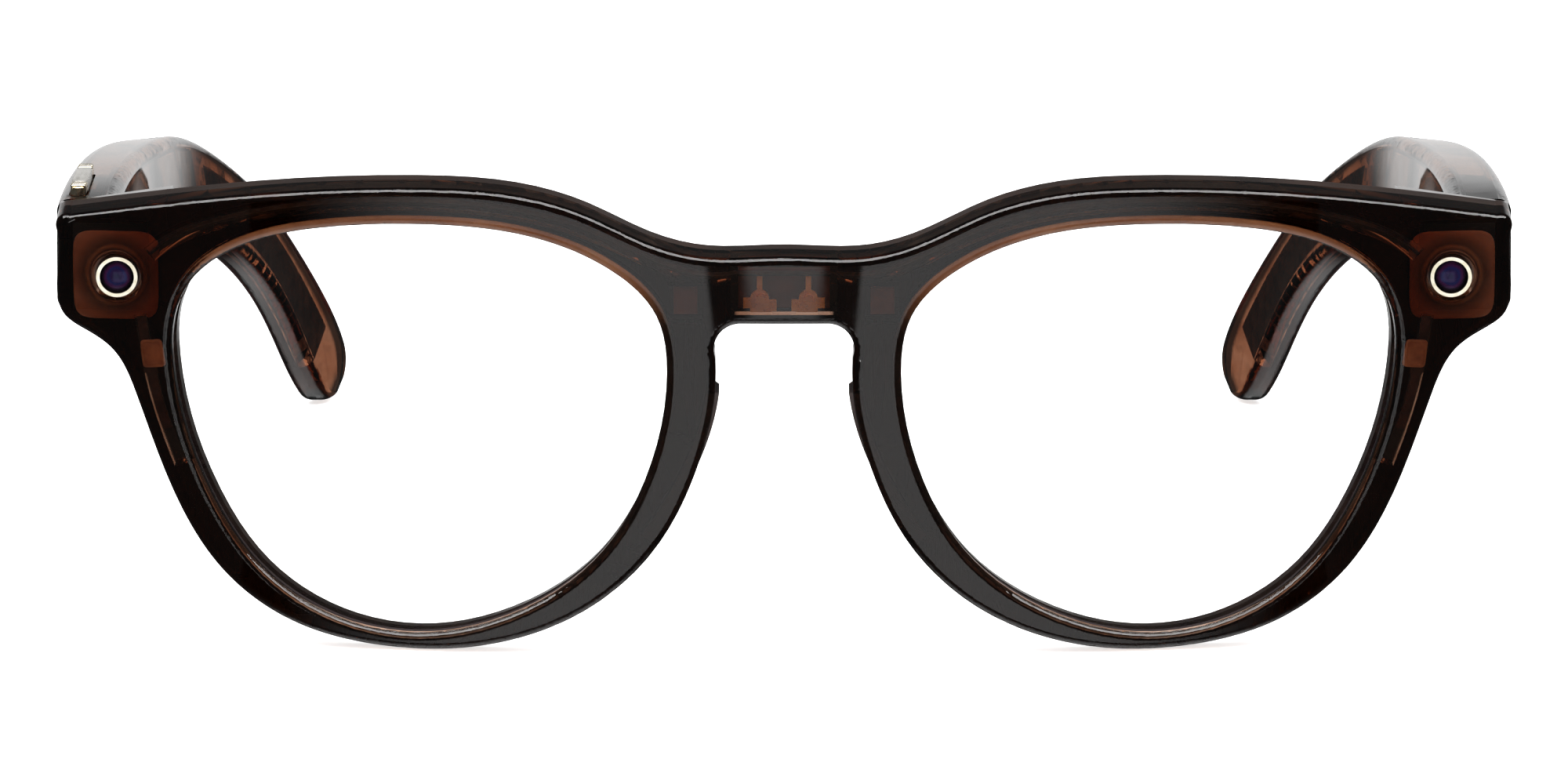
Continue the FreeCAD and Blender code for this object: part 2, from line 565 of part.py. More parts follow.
def temple_parts(side, front_tools):
    name = "left" if side > 0 else "right"
    notch, temple_leaf, leaf_screws = front_tools
    whole = temple_solid().cut(notch)
    whole = whole.cut(temple_leaf.fuse(leaf_screws))
    slab = inner_slab()
    hollow = cavity()
    core = tip_core()
    ear_y = 90.0
    shell = whole.cut(slab).cut(hollow).cut(core)
    cover = whole.common(slab).cut(hollow)
    meshes = []
    for z0, z1, mesh_z in ((3.5, 9.0, 4.35), (-9.0, -3.5, -4.95)):
        shell = shell.cut(vent(ear_y, z0, z1, 0))
        cover = cover.cut(vent(ear_y, z0, z1, 0))
        mesh = vent(ear_y, mesh_z, mesh_z + 0.6, 0)
        meshes.append(mesh)
    speaker = temple_box(80, 94, -1.35, 1.35, -3.6, 3.6)
    mic_y = 76.0
    mic_z = station(mic_y)[0].z - 4.3
    port = rod_z(70.3, mic_y, 0, mic_z, 0.45)
    shell = shell.cut(port)
    pieces = {"temple_microphone_": block(69.3, 71.4, mic_y - 1.4, mic_y + 1.4, mic_z, mic_z + 1.0)}
    pieces["speaker_mesh_"] = Part.makeCompound(meshes)
    pieces["speaker_"] = speaker
    pieces["tip_core_"] = core
    if side > 0:
        battery = temple_box(36, 71, -1.45, 1.45, -4.2, 4.2)
        parts["battery"] = battery.makeFillet(0.6, battery.Edges)
        parts["battery_board"] = temple_box(71.6, 78.4, 0.2, 0.8, -2.6, 3.6)
        cover = power_parts(cover)
    else:
        parts["main_board"] = mirrored(temple_box(34, 74, 0.1, 0.9, -4.1, 4.1))
        parts["board_shield"] = mirrored(temple_box(34, 74, -1.3, 0.1, -3.6, 3.6, 4.0, 8.0))
        parts["touch_flex"] = mirrored(temple_box(34, 74, 1.3, 1.45, -3.8, 3.8, 2.0, 10.0))
        shell, button, switch = capture_button_parts(shell)
        parts["capture_button"] = mirrored(button)
        parts["capture_switch"] = mirrored(switch)
    pieces["temple_shell_"] = shell
    pieces["temple_cover_"] = cover
    for label, shape in pieces.items():
        parts[label + name] = on_side(shape, side)


def power_parts(cover):
    """Power slider on the inner side of the wearer's left temple; returns the cover with its slot."""
    y, z, face_x = 30.8, 13.2, 68.05
    knob = block(face_x - 0.5, face_x + 2.0, y - 1.4, y + 1.4, z - 0.9, z + 0.9)
    grip = block(face_x - 0.9, face_x - 0.5, y - 1.0, y + 1.0, z - 0.7, z + 0.7)
    slider = knob.fuse([grip])
    slot = block(face_x - 3, face_x + 1.6, y - 1.7, y + 1.7 + SLIDER_TRAVEL, z - 1.2, z + 1.2)
    parts["power_slider"] = slider
    parts["power_switch"] = block(face_x + 2.3, face_x + 3.9, y - 1.8, y + 2.6, z - 1.6, z + 1.6)
    return cover.cut(slot)


# ---------- assembly ----------

def build():
    front_parts()
    all_screws = []
    for side, name in ((1, "left"), (-1, "right")):
        recess, screws, notch, temple_leaf, leaf_screws = hinge_parts(side)
        rear = parts["rear_shell"].cut(on_side(recess, side))
        for screw in screws:
            rear = rear.cut(on_side(screw, side))
            all_screws.append(on_side(screw, side))
        parts["rear_shell"] = rear
        temple_parts(side, (notch, temple_leaf, leaf_screws))
    parts["front_leaf_screws"] = Part.makeCompound(all_screws)


def stand(shape):
    """From the wearing frame to the table."""
    result = shape.copy()
    result.rotate(V(0, 0, 0), V(1, 0, 0), -REST_TILT)
    return result


def write():
    for name in parts:
        parts[name] = stand(parts[name])
    box = FreeCAD.BoundBox()
    for shape in parts.values():
        box.add(shape.optimalBoundingBox(True, False))
    for name, shape in parts.items():
        shape.translate(V(-box.Center.x, -box.Center.y, -box.ZMin))
        shape.exportStep("parts/%s.step" % name)
    print("moved", -box.Center.x, -box.Center.y, -box.ZMin)
    print(len(parts), "nodes", box)



build()
write()
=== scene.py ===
"""Looks for the smart glasses: materials, finer detail pieces, studio and camera.

The CAD model is loaded as a fixed frame, in metres: X to the wearer's left, Y back, Z up.
"""
import bpy
import bmesh
import math
from mathutils import Matrix, Vector


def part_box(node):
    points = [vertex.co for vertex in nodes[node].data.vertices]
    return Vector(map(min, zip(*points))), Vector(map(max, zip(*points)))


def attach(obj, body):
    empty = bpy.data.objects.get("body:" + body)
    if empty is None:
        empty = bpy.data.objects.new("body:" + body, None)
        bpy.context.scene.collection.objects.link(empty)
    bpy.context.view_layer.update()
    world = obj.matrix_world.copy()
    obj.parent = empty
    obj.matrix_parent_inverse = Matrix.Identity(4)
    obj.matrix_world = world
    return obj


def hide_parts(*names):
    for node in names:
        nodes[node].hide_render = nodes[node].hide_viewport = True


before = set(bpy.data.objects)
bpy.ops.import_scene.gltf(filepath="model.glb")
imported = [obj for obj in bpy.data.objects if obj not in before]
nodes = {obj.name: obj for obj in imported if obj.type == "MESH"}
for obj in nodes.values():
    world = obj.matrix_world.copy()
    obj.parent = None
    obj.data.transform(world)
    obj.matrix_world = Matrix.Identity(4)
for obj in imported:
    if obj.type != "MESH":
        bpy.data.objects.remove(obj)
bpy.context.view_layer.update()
scene = bpy.context.scene
MM = 0.001
SIDES = (("left", 1), ("right", -1))
PLATE_SIDES = 64          # points round a small plate's outline

# the front leans by this much, from upright, when the glasses stand on a table
FRONT_LEAN = math.radians(5.0)

# studio and camera, in metres
FLOOR_RADIUS = 0.9
FLOOR_Z = -0.0002
KEY_PLACE = (0, -0.35, 1.0)
KEY_TARGET = (0, -0.02, 0.03)
KEY_SIZE = (2.4, 0.75)
KEY_RADIANCE = 7.5
CARD_DISTANCE = 0.5
CARD_HALF_SIZE = (0.28, 0.16)
CARD_STRENGTH = 1.15
CARD_TARGET = (0, -0.071, 0.036)
CAMERA_PLACE = (0, -1.2486, 0.2567)
CAMERA_TARGET = (0, -0.0707, 0.0277)
FOCAL_LENGTH = 272.8      # mm, on a sensor 36 mm wide


# ---------- materials ----------

class Nodes:
    """A material's or world's node tree, with short calls to fill it."""

    def __init__(self, tree):
        self.tree = tree
        tree.nodes.clear()

    def add(self, kind, **values):
        node = self.tree.nodes.new(kind)
        for key, value in values.items():
            setattr(node, key, value)
        return node

    def put(self, source, target):
        if isinstance(source, bpy.types.NodeSocket):
            self.tree.links.new(source, target)
        else:
            target.default_value = source

    def math(self, operation, a, b=0.0):
        node = self.add("ShaderNodeMath", operation=operation)
        self.put(a, node.inputs[0])
        self.put(b, node.inputs[1])
        return node.outputs[0]

    def times(self, *values):
        product = values[0]
        for value in values[1:]:
            product = self.math("MULTIPLY", product, value)
        return product

    def plus(self, a, b):
        return self.math("ADD", a, b)

    def axes(self, source):
        """X, Y and Z of one of the Texture Coordinate node's outputs."""
        split = self.add("ShaderNodeSeparateXYZ")
        self.put(self.add("ShaderNodeTexCoord").outputs[source], split.inputs[0])
        return split.outputs[0], split.outputs[1], split.outputs[2]

    def rings(self, centre, radius, noise_scale, wander):
        """Distance from a centre as a share of a radius, a little uneven."""
        away = self.add("ShaderNodeVectorMath", operation="DISTANCE")
        self.put(self.add("ShaderNodeTexCoord").outputs["Object"], away.inputs[0])
        away.inputs[1].default_value = centre
        share = self.math("DIVIDE", away.outputs["Value"], radius)
        uneven = self.math("SUBTRACT", self.noise(noise_scale), 0.5)
        return self.plus(share, self.times(uneven, wander))

    def between(self, value, low, high, out_low=0.0, out_high=1.0):
        """Smooth step from low to high."""
        node = self.add("ShaderNodeMapRange", interpolation_type="SMOOTHSTEP")
        for source, name in ((value, "Value"), (low, "From Min"), (high, "From Max"),
                             (out_low, "To Min"), (out_high, "To Max")):
            self.put(source, node.inputs[name])
        return node.outputs[0]

    def noise(self, scale, detail=2.0, stretch=(1, 1, 1)):
        """Noise in the object's own coordinates, with features about 1/scale metres wide."""
        where = self.add("ShaderNodeTexCoord").outputs["Object"]
        mapping = self.add("ShaderNodeMapping")
        self.put(where, mapping.inputs["Vector"])
        mapping.inputs["Scale"].default_value = stretch
        node = self.add("ShaderNodeTexNoise")
        self.put(mapping.outputs[0], node.inputs["Vector"])
        node.inputs["Scale"].default_value = scale
        node.inputs["Detail"].default_value = detail
        return node.outputs["Fac"]

    def ramp(self, value, stops):
        node = self.add("ShaderNodeValToRGB")
        self.put(value, node.inputs[0])
        elements = node.color_ramp.elements
        while len(elements) < len(stops):
            elements.new(0.5)
        for element, (place, colour) in zip(elements, stops):
            element.position = place
            element.color = (*colour, 1)
        return node.outputs[0]

    def bump(self, height, strength, distance):
        node = self.add("ShaderNodeBump")
        self.put(height, node.inputs["Height"])
        node.inputs["Strength"].default_value = strength
        node.inputs["Distance"].default_value = distance
        return node.outputs[0]


def material(name):
    made = bpy.data.materials.new(name)
    made.use_nodes = True
    tree = Nodes(made.node_tree)
    shader = tree.add("ShaderNodeBsdfPrincipled")
    output = tree.add("ShaderNodeOutputMaterial")
    tree.put(shader.outputs[0], output.inputs["Surface"])
    return made, tree, shader, output


def surface(name, dark, light, roughness, metallic=0.0, scale=400.0, stretch=(1, 1, 1), bump=0.1, coat=0.0):
    """Opaque finish whose colour and roughness wander between two values, with a fine relief."""
    made, tree, shader, _ = material(name)
    cloud = tree.noise(scale, 3.0, stretch)
    tree.put(tree.ramp(cloud, [(0.3, dark), (0.7, light)]), shader.inputs["Base Color"])
    tree.put(tree.between(cloud, 0.25, 0.75, roughness * 0.8, roughness * 1.25), shader.inputs["Roughness"])
    grain = tree.noise(scale * 6, 2.0, stretch)
    tree.put(tree.bump(grain, bump, 0.05 * MM), shader.inputs["Normal"])
    shader.inputs["Metallic"].default_value = metallic
    shader.inputs["Coat Weight"].default_value = coat
    return made


def clear_plastic(name, absorbed, density, tint_dark, tint_light):
    """Polished see-through plastic that takes its colour from its depth."""
    made, tree, shader, output = material(name)
    cloud = tree.noise(120.0, 3.0, (1, 1, 2.5))
    tree.put(tree.ramp(cloud, [(0.35, tint_dark), (0.65, tint_light)]), shader.inputs["Base Color"])
    tree.put(tree.between(cloud, 0.2, 0.8, 0.01, 0.035), shader.inputs["Roughness"])
    tree.put(tree.bump(tree.noise(250.0), 0.004, 0.02 * MM), shader.inputs["Normal"])
    shader.inputs["Transmission Weight"].default_value = 1.0
    shader.inputs["IOR"].default_value = 1.5
    volume = tree.add("ShaderNodeVolumeAbsorption")
    volume.inputs["Color"].default_value = (*absorbed, 1)
    volume.inputs["Density"].default_value = density
    tree.put(volume.outputs[0], output.inputs["Volume"])
    return made


def lens_glass():
    """Clear lens: seen straight through, with a faint reflection that grows towards its edges."""
    made, tree, shader, output = material("lens_clear")
    shader.inputs["Base Color"].default_value = (0.95, 0.97, 1.0, 1)
    shader.inputs["Metallic"].default_value = 1.0
    tree.put(tree.between(tree.noise(60.0), 0.2, 0.8, 0.01, 0.03), shader.inputs["Roughness"])
    clear = tree.add("ShaderNodeBsdfTransparent")
    clear.inputs["Color"].default_value = (0.985, 0.99, 0.99, 1)
    fresnel = tree.add("ShaderNodeFresnel")
    fresnel.inputs["IOR"].default_value = 1.35
    mix = tree.add("ShaderNodeMixShader")
    tree.put(tree.math("MULTIPLY", fresnel.outputs[0], 0.15), mix.inputs[0])
    tree.put(clear.outputs[0], mix.inputs[1])
    tree.put(shader.outputs[0], mix.inputs[2])
    tree.put(mix.outputs[0], output.inputs["Surface"])
    return made


def lens_with_painted_reflection(name, centre):
    """Camera lens: dark glass with violet, blue and magenta rings painted round its centre as the coating's
    reflection, fading to black at its rim.
    """
    made, tree, shader, _ = material(name)
    ring = tree.rings(centre, 1.75 * MM, 700.0, 0.35)
    # the violet, blue and magenta stops are painted reflection of the coating
    stops = [(0.0, (0.002, 0.002, 0.005)), (0.3, (0.006, 0.002, 0.012)), (0.5, (0.003, 0.004, 0.020)),
             (0.68, (0.016, 0.002, 0.012)), (0.85, (0.004, 0.002, 0.004)), (1.0, (0.001, 0.001, 0.001))]
    tree.put(tree.ramp(ring, stops), shader.inputs["Base Color"])
    tree.put(tree.between(ring, 0.0, 1.0, 0.16, 0.24), shader.inputs["Roughness"])
    shader.inputs["Specular Tint"].default_value = (0.42, 0.42, 1.0, 1)
    shader.inputs["Coat Weight"].default_value = 0.12
    shader.inputs["Coat Roughness"].default_value = 0.12
    shader.inputs["IOR"].default_value = 1.42
    return made


def plastic_painted_ring_shade(name, centre):
    """Brown moulding painted with rings of light and shade round a camera, as its steps would catch more or
    less light.
    """
    made, tree, shader, _ = material(name)
    ring = tree.rings(centre, 5.0 * MM, 350.0, 0.06)
    # the stops alternate painted shade and painted light in rings out to the outer edge
    stops = [(0.43, (0.05, 0.020, 0.010)), (0.50, (0.22, 0.09, 0.038)), (0.54, (0.08, 0.030, 0.015)),
             (0.60, (0.26, 0.11, 0.045)), (0.66, (0.10, 0.040, 0.018)), (0.76, (0.16, 0.058, 0.026)),
             (0.92, (0.26, 0.085, 0.035))]
    tree.put(tree.ramp(ring, stops), shader.inputs["Base Color"])
    tree.put(tree.bump(tree.noise(1800.0), 0.2, 0.03 * MM), shader.inputs["Normal"])
    shader.inputs["Roughness"].default_value = 0.35
    return made


def metal_with_painted_shade_walls(name):
    """Pale metal on the faces that look forward, with walls painted dark as shade."""
    made, tree, shader, _ = material(name)
    facing = tree.between(tree.axes("Normal")[1], -0.5, -0.8)
    wander = tree.between(tree.noise(1500.0), 0.3, 0.7, 0.6, 1.0)
    # the first, dark stop is painted shade on the walls; the pale stops are the metal's own colour
    stops = [(0.1, (0.05, 0.035, 0.025)), (0.6, (0.80, 0.74, 0.56)), (1.0, (0.93, 0.88, 0.74))]
    tree.put(tree.ramp(tree.times(facing, wander), stops), shader.inputs["Base Color"])
    tree.put(tree.between(facing, 0.0, 1.0, 0.4, 0.22), shader.inputs["Roughness"])
    tree.put(tree.bump(tree.noise(9000.0), 0.05, 0.05 * MM), shader.inputs["Normal"])
    shader.inputs["Metallic"].default_value = 0.85
    return made


def mesh_grille(name):
    """Woven vent mesh: fine round holes in dark metal."""
    made, tree, shader, _ = material(name)
    where = tree.add("ShaderNodeTexCoord").outputs["Object"]
    cells = tree.add("ShaderNodeTexVoronoi")
    tree.put(where, cells.inputs["Vector"])
    cells.inputs["Scale"].default_value = 3200.0
    cells.inputs["Randomness"].default_value = 0.0
    hole = tree.between(cells.outputs["Distance"], 0.28, 0.36)
    tree.put(tree.ramp(hole, [(0.0, (0.002, 0.002, 0.002)), (1.0, (0.06, 0.055, 0.05))]),
             shader.inputs["Base Color"])
    tree.put(tree.bump(hole, 0.8, 0.1 * MM), shader.inputs["Normal"])
    shader.inputs["Metallic"].default_value = 0.6
    shader.inputs["Roughness"].default_value = 0.45
    return made


BROWN = clear_plastic("clear_brown", (0.62, 0.27, 0.02), 460.0, (0.80, 0.66, 0.58), (0.97, 0.90, 0.86))
GOLD = surface("champagne_gold", (0.80, 0.66, 0.42), (0.93, 0.83, 0.62), 0.16, 1.0, 900.0, bump=0.05)
PALE_GOLD = metal_with_painted_shade_walls("pale_ring")
COPPER = surface("copper_foil", (0.30, 0.12, 0.06), (0.46, 0.19, 0.09), 0.4, 0.2, 700.0, bump=0.2)
STRIP = surface("antenna_strip", (0.03, 0.011, 0.008), (0.06, 0.02, 0.012), 0.4, 0.1, 700.0, bump=0.2)
CONTACT = surface("contact_gold", (0.85, 0.42, 0.12), (0.98, 0.62, 0.24), 0.3, 0.5, 900.0, bump=0.1)
STEEL = surface("brushed_steel", (0.42, 0.40, 0.38), (0.62, 0.60, 0.57), 0.28, 1.0, 300.0, (1, 1, 14), 0.3)
BLACK = surface("black_moulding", (0.006, 0.005, 0.005), (0.016, 0.014, 0.013), 0.5, 0.0, 500.0, bump=0.3)
SHIELD = surface("shield_can", (0.10, 0.09, 0.08), (0.2, 0.19, 0.17), 0.35, 0.9, 260.0, (1, 6, 1), 0.2)
BOARD = surface("circuit_board", (0.004, 0.012, 0.01), (0.012, 0.03, 0.022), 0.45, 0.0, 900.0, bump=0.4)
WRAP = surface("battery_wrap", (0.05, 0.04, 0.035), (0.10, 0.085, 0.075), 0.32, 0.3, 180.0, (1, 3, 1), 0.4)
FLEX = surface("flex_cover", (0.010, 0.006, 0.004), (0.022, 0.012, 0.007), 0.4, 0.0, 600.0, bump=0.3)
CARRIER = surface("brown_moulding", (0.06, 0.016, 0.008), (0.11, 0.032, 0.014), 0.4, 0.0, 500.0, bump=0.3)
PAD = surface("nose_pad_gloss", (0.012, 0.006, 0.005), (0.022, 0.011, 0.009), 0.14, 0.0, 300.0, bump=0.1,
              coat=0.5)
GREY_PLATE = surface("button_plate", (0.30, 0.29, 0.27), (0.42, 0.41, 0.39), 0.3, 0.5, 300.0, (6, 1, 1), 0.2)
BACKING = surface("dark_brown_gloss", (0.008, 0.005, 0.004), (0.020, 0.010, 0.007), 0.32, 0.0, 150.0,
                  (1, 1, 2.5), bump=0.04, coat=0.6)
CORE = surface("core_foil", (0.05, 0.022, 0.013), (0.10, 0.042, 0.022), 0.35, 0.4, 300.0, (1, 1, 3), bump=0.2)
MODULE = surface("sensor_patch", (0.10, 0.032, 0.018), (0.16, 0.055, 0.03), 0.4, 0.0, 500.0, bump=0.3)
LENS = lens_glass()
GRILLE = mesh_grille("vent_mesh")

BY_NAME = {
    "front_shell": BROWN, "rear_shell": BACKING, "temple_shell": BROWN, "temple_cover": BROWN, "lens": LENS,
    "camera_ring": PALE_GOLD, "camera_gasket": CARRIER, "camera_module": BLACK, "antenna": STRIP,
    "front_flex": FLEX, "contact_carrier": CARRIER, "charging_contact": CONTACT, "contact_terminal": CONTACT,
    "nose_microphone": MODULE, "wear_sensor": MODULE, "nose_pad": PAD, "hinge": STEEL, "front_leaf": STEEL,
    "temple_leaf": STEEL, "tip_core": CORE, "speaker_mesh": GRILLE, "speaker": BLACK,
    "temple_microphone": BLACK, "battery_board": BOARD, "battery": WRAP, "power_switch": BLACK,
    "main_board": BOARD, "board_shield": SHIELD, "touch_flex": FLEX, "capture_switch": BLACK,
    "capture_button": GOLD, "power_slider": BLACK}


def finish_of(name):
    """The finish whose key is the longest beginning of a node's name."""
    return BY_NAME[max((key for key in BY_NAME if name.startswith(key)), key=len)]


def paint(piece, finish):
    piece.data.materials.clear()
    piece.data.materials.append(finish)


for name, node in nodes.items():
    if name.startswith("camera_glass"):
        low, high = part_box(name)
        middle = (low + high) / 2
        # each camera glass gets rings of painted reflection round its own centre
        paint(node, lens_with_painted_reflection("coated_" + name, (middle.x, low.y, middle.z)))
    else:
        paint(node, finish_of(name))


# ---------- detail pieces ----------

def in_front_frame(point):
    """Turns a direction or offset from the front's own frame into the row frame."""
    return Matrix.Rotation(FRONT_LEAN, 3, "X") @ Vector(point)


def add_piece(name, mesh_data, finish, body):
    """Makes a smooth-shaded piece from (points, faces) that rides on a body."""
    mesh = bpy.data.meshes.new(name)
    mesh.from_pydata([tuple(p) for p in mesh_data[0]], [], mesh_data[1])
    work = bmesh.new()
    work.from_mesh(mesh)
    bmesh.ops.recalc_face_normals(work, faces=work.faces)
    work.to_mesh(mesh)
    work.free()
    mesh.polygons.foreach_set("use_smooth", [True] * len(mesh.polygons))
    mesh.set_sharp_from_angle(angle=math.radians(35))
    piece = bpy.data.objects.new(name, mesh)
    piece.data.materials.append(finish)
    scene.collection.objects.link(piece)
    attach(piece, body)
    return piece


def rings_closed(rings):
    """Points and faces of a closed tube of rings, joined first to last."""
    count = len(rings[0])
    points = [p for ring in rings for p in ring]
    faces = []
    for i in range(len(rings)):
        j = (i + 1) % len(rings)
        for a in range(count):
            b = (a + 1) % count
            faces.append((i * count + a, i * count + b, j * count + b, j * count + a))
    return points, faces


def rounded_square(angle, half_wide, half_high, power):
    """Point of a superellipse at an angle."""
    c, s = math.cos(angle), math.sin(angle)
    k = (abs(c / half_wide) ** power + abs(s / half_high) ** power) ** (-1 / power)
    return c * k, s * k


def camera_bezel(side_name):
    """Rounded-square surround behind a camera's window, stepped in rings round the lens."""
    low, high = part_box("camera_gasket_" + side_name)
    middle = (low + high) / 2
    count = 96
    # radius and how far forward, in mm; a share of 1 is the rounded square
    profile = [(2.13, 0.00, 0.0), (2.13, 0.12, 0.0), (2.4, 0.14, 0.0), (2.5, 0.02, 0.0), (2.65, 0.02, 0.03),
               (2.75, 0.14, 0.06), (3.0, 0.14, 0.12), (3.1, 0.03, 0.2), (3.4, 0.03, 0.4), (3.55, 0.14, 0.6),
               (3.8, 0.14, 0.85), (4.3, 0.10, 1.0), (4.42, 0.02, 1.0), (4.42, -0.10, 1.0), (2.13, -0.12, 0.0)]
    rings = []
    for radius, forward, share in profile:
        ring = []
        for i in range(count):
            angle = i * math.tau / count
            square = rounded_square(angle, radius, radius * 1.04, 6)
            x = radius * math.cos(angle) * (1 - share) + square[0] * share
            z = radius * math.sin(angle) * (1 - share) + square[1] * share
            ring.append(middle + in_front_frame((x * MM, -forward * MM, z * MM)))
        rings.append(ring)
    finish = plastic_painted_ring_shade("camera_bezel_" + side_name, middle)
    piece = add_piece("camera_bezel_" + side_name, rings_closed(rings), finish, "front")
    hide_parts("camera_gasket_" + side_name)


def outline_of(node):
    """The rim of a lens's forward face, in order, from the node's own mesh."""
    work = bmesh.new()
    work.from_mesh(node.data)
    bmesh.ops.remove_doubles(work, verts=work.verts, dist=1e-7)
    work.normal_update()
    forward = in_front_frame((0, -1, 0))
    faces = {f for f in work.faces if f.normal.dot(forward) > 0.9}
    rim = [e for e in work.edges if len([f for f in e.link_faces if f in faces]) == 1]
    links = {}
    for edge in rim:
        a, b = edge.verts
        links.setdefault(a.index, []).append(b.index)
        links.setdefault(b.index, []).append(a.index)
    work.verts.ensure_lookup_table()
    places = {i: work.verts[i].co.copy() for i in links}
    work.free()
    start = min(links)
    order = [start]
    last = None
    while True:
        here = order[-1]
        ahead = [i for i in links[here] if i != last]
        last = here
        if not ahead or ahead[0] == start:
            break
        order.append(ahead[0])
    return [places[i] for i in order]


def ground_edge(side_name):
    """Frosted bevel round a lens, hidden in its groove and seen through the front's plastic."""
    rim = outline_of(nodes["lens_" + side_name])
    middle = sum(rim, Vector()) / len(rim)
    back = in_front_frame((0, 1, 0))
    count = len(rim)
    rings = [[], [], [], []]
    for i, place in enumerate(rim):
        along = (rim[(i + 1) % count] - rim[i - 1]).normalized()
        inward = along.cross(back).normalized()
        if inward.dot(middle - place) < 0:
            inward = -inward
        for ring, (into, depth) in zip(rings, ((0.10, 0.15), (0.66, 0.15), (0.70, 1.0), (0.10, 1.6))):
            ring.append(place + inward * into * MM + back * depth * MM)
    low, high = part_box("lens_" + side_name)
    piece = add_piece("lens_edge_" + side_name, rings_closed(rings), edge_painted_light(low.z, high.z), "front")


def edge_painted_light(low, high):
    """Ground glass painted a bright orange along its top as light from above, fading to painted shade down
    the sides.
    """
    made, tree, shader, _ = material("ground_edge")
    height = tree.between(tree.axes("Object")[2], low + (high - low) * 0.72, low + (high - low) * 0.9)
    lit = tree.times(height, tree.between(tree.noise(250.0), 0.2, 0.8, 0.8, 1.0))
    # the bright stop is painted light along the top, the dark stop painted shade
    tree.put(tree.ramp(lit, [(0.0, (0.02, 0.012, 0.012)), (1.0, (0.97, 0.80, 0.56))]),
             shader.inputs["Base Color"])
    tree.put(tree.bump(tree.noise(2500.0), 0.3, 0.05 * MM), shader.inputs["Normal"])
    shader.inputs["Roughness"].default_value = 0.55
    return made


def slab_rings(outline, steps):
    """Rings for a plate: its outline at each (inset, height) step."""
    return [[outline(i, inset, height) for i in range(PLATE_SIDES)] for inset, height in steps]


def closed_plate(name, rings, finish, body):
    """Plate from its rings, with flat ends."""
    points = [p for ring in rings for p in ring]
    count = len(rings[0])
    faces = []
    for i in range(len(rings) - 1):
        for a in range(count):
            b = (a + 1) % count
            faces.append((i * count + a, i * count + b, (i + 1) * count + b, (i + 1) * count + a))
    faces.append(tuple(range(count)))
    faces.append(tuple((len(rings) - 1) * count + a for a in reversed(range(count))))
    return add_piece(name, (points, faces), finish, body)


def antenna_pad(side_name, side):
    """Square copper pad at the top of a rim's antenna, just under the plastic."""
    low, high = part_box("antenna_" + side_name)
    middle = Vector((side * 64.1 * MM, low.y - 0.16 * MM, high.z - 4.0 * MM))
    twist = Matrix.Rotation(side * math.radians(6.0), 3, "Y")
    turn = Matrix.Rotation(side * math.radians(13.2), 3, "Z")

    def outline(i, inset, height):
        x, z = rounded_square(i * math.tau / PLATE_SIDES, 1.15 - inset, 1.45 - inset, 8)
        return middle + in_front_frame(turn @ twist @ Vector((x, height, z))) * MM

    steps = [(0.0, 0.12), (0.0, 0.0), (0.12, -0.04), (0.22, -0.04), (0.30, 0.02)]
    piece = closed_plate("antenna_pad_" + side_name, slab_rings(outline, steps), COPPER, "front")


def capture_button():
    """Bar on top of the wearer's right temple: a grey plate between two ribbed gold ends."""
    low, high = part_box("capture_button")
    slope = math.radians(1.2)
    along = Vector((0, math.cos(slope), -math.sin(slope)))
    up = Vector((0, math.sin(slope), math.cos(slope)))
    middle = (low + high) / 2
    middle.z = high.z
    middle -= up * 0.155 * MM

    def bar(half_wide, half_long, place):
        """Outline of a bar with round ends, its middle at a place along the button."""
        def outline(i, inset, height):
            angle = i * math.tau / PLATE_SIDES
            end = half_long - half_wide
            a = place + (end if i < PLATE_SIDES / 2 else -end) + (half_wide - inset) * math.sin(angle)
            x = (half_wide - inset) * math.cos(angle)
            return middle + Vector((x * MM, 0, 0)) + along * a * MM + up * height * MM
        return outline

    def plate(half_wide, half_long, place):
        """Outline of a plate with tight corners."""
        def outline(i, inset, height):
            x, a = rounded_square(i * math.tau / PLATE_SIDES, half_wide - inset, half_long - inset, 12)
            return middle + Vector((x * MM, 0, 0)) + along * (place + a) * MM + up * height * MM
        return outline

    body = [(0.0, -3.0), (0.0, -0.34), (0.08, -0.24), (0.2, -0.2)]
    piece = closed_plate("button_bar", slab_rings(bar(0.8, 7.35, 0), body), GOLD, "capture_button")
    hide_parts("capture_button")
    ridge = [(0.0, -0.5), (0.0, -0.12), (0.06, -0.04), (0.14, 0.0)]
    for i, place in enumerate((-6.7, -5.5, 5.5, 6.7)):
        piece = closed_plate("button_ridge_%d" % (i + 1), slab_rings(plate(0.77, 0.42, place), ridge), GOLD,
                             "capture_button")
    cap = [(0.0, -1.2), (0.0, -0.12), (0.06, -0.03), (0.14, 0.0)]
    piece = closed_plate("button_plate", slab_rings(plate(0.815, 4.75, 0), cap), GREY_PLATE, "capture_button")


for side_name, side in SIDES:
    camera_bezel(side_name)
    ground_edge(side_name)
    antenna_pad(side_name, side)
capture_button()


# ---------- studio ----------

